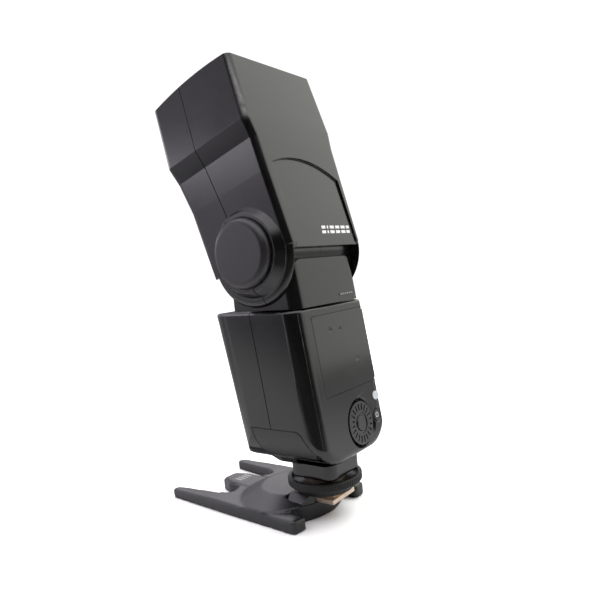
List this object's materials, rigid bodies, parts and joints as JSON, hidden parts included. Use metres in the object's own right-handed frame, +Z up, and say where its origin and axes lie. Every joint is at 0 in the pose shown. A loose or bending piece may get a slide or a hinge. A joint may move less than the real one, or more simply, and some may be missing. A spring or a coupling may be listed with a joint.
{
  "type": "speedlight flash",
  "caption": "Shoe-mount speedlight flash with a tilting, swivelling zoom head and a rear dial and display, standing in its small foot stand.",
  "frame": {"origin": "on the stand's underside, on the axis of the flash's lock ring", "axes": "+Z up, -Y the way the light points when the head is level, +Y towards the control panel, +X completes the right-handed frame"},
  "size_m": [0.0732, 0.1145, 0.2194],
  "materials": {
    "stand_plastic": "fine satin moulded plastic",
    "spring_steel": "bright",
    "brass": "machined",
    "plated_metal": "warm satin plating with worn edges",
    "gold_contact": "polished",
    "body_plastic": "satin black, fine grain",
    "panel_plastic": "satin black, fine grain",
    "ring_plastic": "knurled, matt",
    "bearing_plastic": "plain matt",
    "window_film": "semi-gloss film over the dark display",
    "display_glass": "dark",
    "dial_plastic": "semi-gloss",
    "lamp_button": "translucent pale blue-white",
    "circuit_board": "solder resist",
    "soft_rubber": "soft matt",
    "cell_jacket": "printed-free sleeve",
    "capacitor_sleeve": "heat-shrink sleeve",
    "ferrite": "matt",
    "winding": "enamelled wire",
    "red_window": "deep red, clear",
    "led": "clear epoxy",
    "cap_plastic": "satin black",
    "clear_lens": "clear, ribbed",
    "white_card": "matt white",
    "reflector_foil": "bright",
    "tube_glass": "clear",
    "motor_can": "bright can"
  },
  "bodies": {
    "stand": {"stand_base": "stand_plastic", "stand_shoe": "stand_plastic", "stand_springs": "spring_steel", "stand_bush": "brass"},
    "housing": {"foot_plate": "plated_metal", "foot_contacts": "gold_contact", "foot_block": "body_plastic", "body_front_shell": "body_plastic", "body_rear_shell": "body_plastic", "control_panel": "panel_plastic", "swivel_bearing": "bearing_plastic", "display_window": "window_film", "display_module": "display_glass", "control_board": "circuit_board", "socket_block": "bearing_plastic", "socket_contacts": "gold_contact", "battery_contacts": "spring_steel", "magazine_guide": "bearing_plastic", "main_capacitor": "capacitor_sleeve", "main_board": "circuit_board", "transformer_core": "ferrite", "transformer_winding": "winding", "assist_window": "red_window", "assist_lamps": "led", "body_screws": "spring_steel"},
    "ring": {"lock_ring": "ring_plastic"},
    "pin": {"lock_pin": "spring_steel"},
    "dial": {"selector_dial": "dial_plastic"},
    "set_key": {"set_button": "dial_plastic"},
    "test_key": {"test_button": "lamp_button"},
    "power_key": {"power_button": "dial_plastic"},
    "cover": {"terminal_cover": "soft_rubber"},
    "magazine": {"battery_magazine": "body_plastic", "battery_cells": "cell_jacket"},
    "neck": {"neck_base": "bearing_plastic", "swivel_clip": "spring_steel", "neck_cover": "panel_plastic", "neck_core": "bearing_plastic", "barrel_right": "panel_plastic", "barrel_left": "panel_plastic", "detent_plate": "spring_steel"},
    "head": {"head_rear_shell": "body_plastic", "head_front_shell": "body_plastic", "tilt_cap_right": "cap_plastic", "tilt_cap_left": "cap_plastic", "tilt_axles": "spring_steel", "fresnel_lens": "clear_lens", "lens_bezel": "bearing_plastic", "guide_rods": "spring_steel", "zoom_motor": "motor_can", "head_board": "circuit_board"},
    "wide": {"wide_panel": "clear_lens"},
    "card": {"bounce_card": "white_card"},
    "zoom": {"zoom_carriage": "bearing_plastic", "reflector": "reflector_foil", "flash_tube": "tube_glass", "tube_holders": "soft_rubber"},
    "screw": {"lead_screw": "brass"}
  },
  "joints": [
    {"name": "foot_slide", "type": "slide", "parent": "stand", "child": "housing", "axis": [0.0698, 0.9976, 0], "range_m": [0, 0.018]},
    {"name": "lock_turn", "type": "hinge", "parent": "housing", "child": "ring", "pos_m": [0, 0, 0.0184], "axis": [0, 0, 1], "range_deg": [0, 270]},
    {"name": "pin_drop", "type": "slide", "parent": "housing", "child": "pin", "axis": [0, 0, -1], "range_m": [0, 0.0016]},
    {"name": "dial_turn", "type": "hinge", "parent": "housing", "child": "dial", "pos_m": [-0.006, 0.02076, 0.045], "axis": [0, 0.9931, 0.1175], "continuous": true},
    {"name": "set_press", "type": "slide", "parent": "housing", "child": "set_key", "axis": [0, -0.9931, -0.1175], "range_m": [0, 0.0008], "stiffness_N_per_m": 250, "springref_m": -0.001},
    {"name": "test_press", "type": "slide", "parent": "housing", "child": "test_key", "axis": [0, -0.9931, -0.1175], "range_m": [0, 0.0008], "stiffness_N_per_m": 250, "springref_m": -0.001},
    {"name": "power_press", "type": "slide", "parent": "housing", "child": "power_key", "axis": [0, -0.9931, -0.1175], "range_m": [0, 0.0008], "stiffness_N_per_m": 250, "springref_m": -0.001},
    {"name": "cover_swing", "type": "hinge", "parent": "housing", "child": "cover", "pos_m": [0.0294, -0.0045, 0.04925], "axis": [0, -1, 0], "range_deg": [0, 105]},
    {"name": "magazine_pull", "type": "slide", "parent": "housing", "child": "magazine", "axis": [-1, 0, 0], "range_m": [0, 0.05]},
    {"name": "head_swivel", "type": "hinge", "parent": "housing", "child": "neck", "pos_m": [0, -0.0088, 0.105], "axis": [0, 0, 1], "range_deg": [-180, 180]},
    {"name": "head_tilt", "type": "hinge", "parent": "neck", "child": "head", "pos_m": [0, -0.0088, 0.1302], "axis": [1, 0, 0], "range_deg": [-15, 75]},
    {"name": "wide_panel_pull", "type": "slide", "parent": "head", "child": "wide", "axis": [0, -0.2588, 0.9659], "range_m": [0, 0.04]},
    {"name": "card_pull", "type": "slide", "parent": "head", "child": "card", "axis": [0, -0.2588, 0.9659], "range_m": [0, 0.04]},
    {"name": "zoom_travel", "type": "slide", "parent": "head", "child": "zoom", "axis": [0, -0.2588, 0.9659], "range_m": [0, 0.024]},
    {"name": "screw_turn", "type": "hinge", "parent": "head", "child": "screw", "pos_m": [0.01, -0.03809, 0.16376], "axis": [0, -0.2588, 0.9659], "range_deg": [0, 1440]}
  ],
  "couplings": [
    {"joint": "pin_drop", "follows": "lock_turn", "m_per_rad": 0.00031831},
    {"joint": "screw_turn", "follows": "zoom_travel", "rad_per_m": 1047.2}
  ]
}
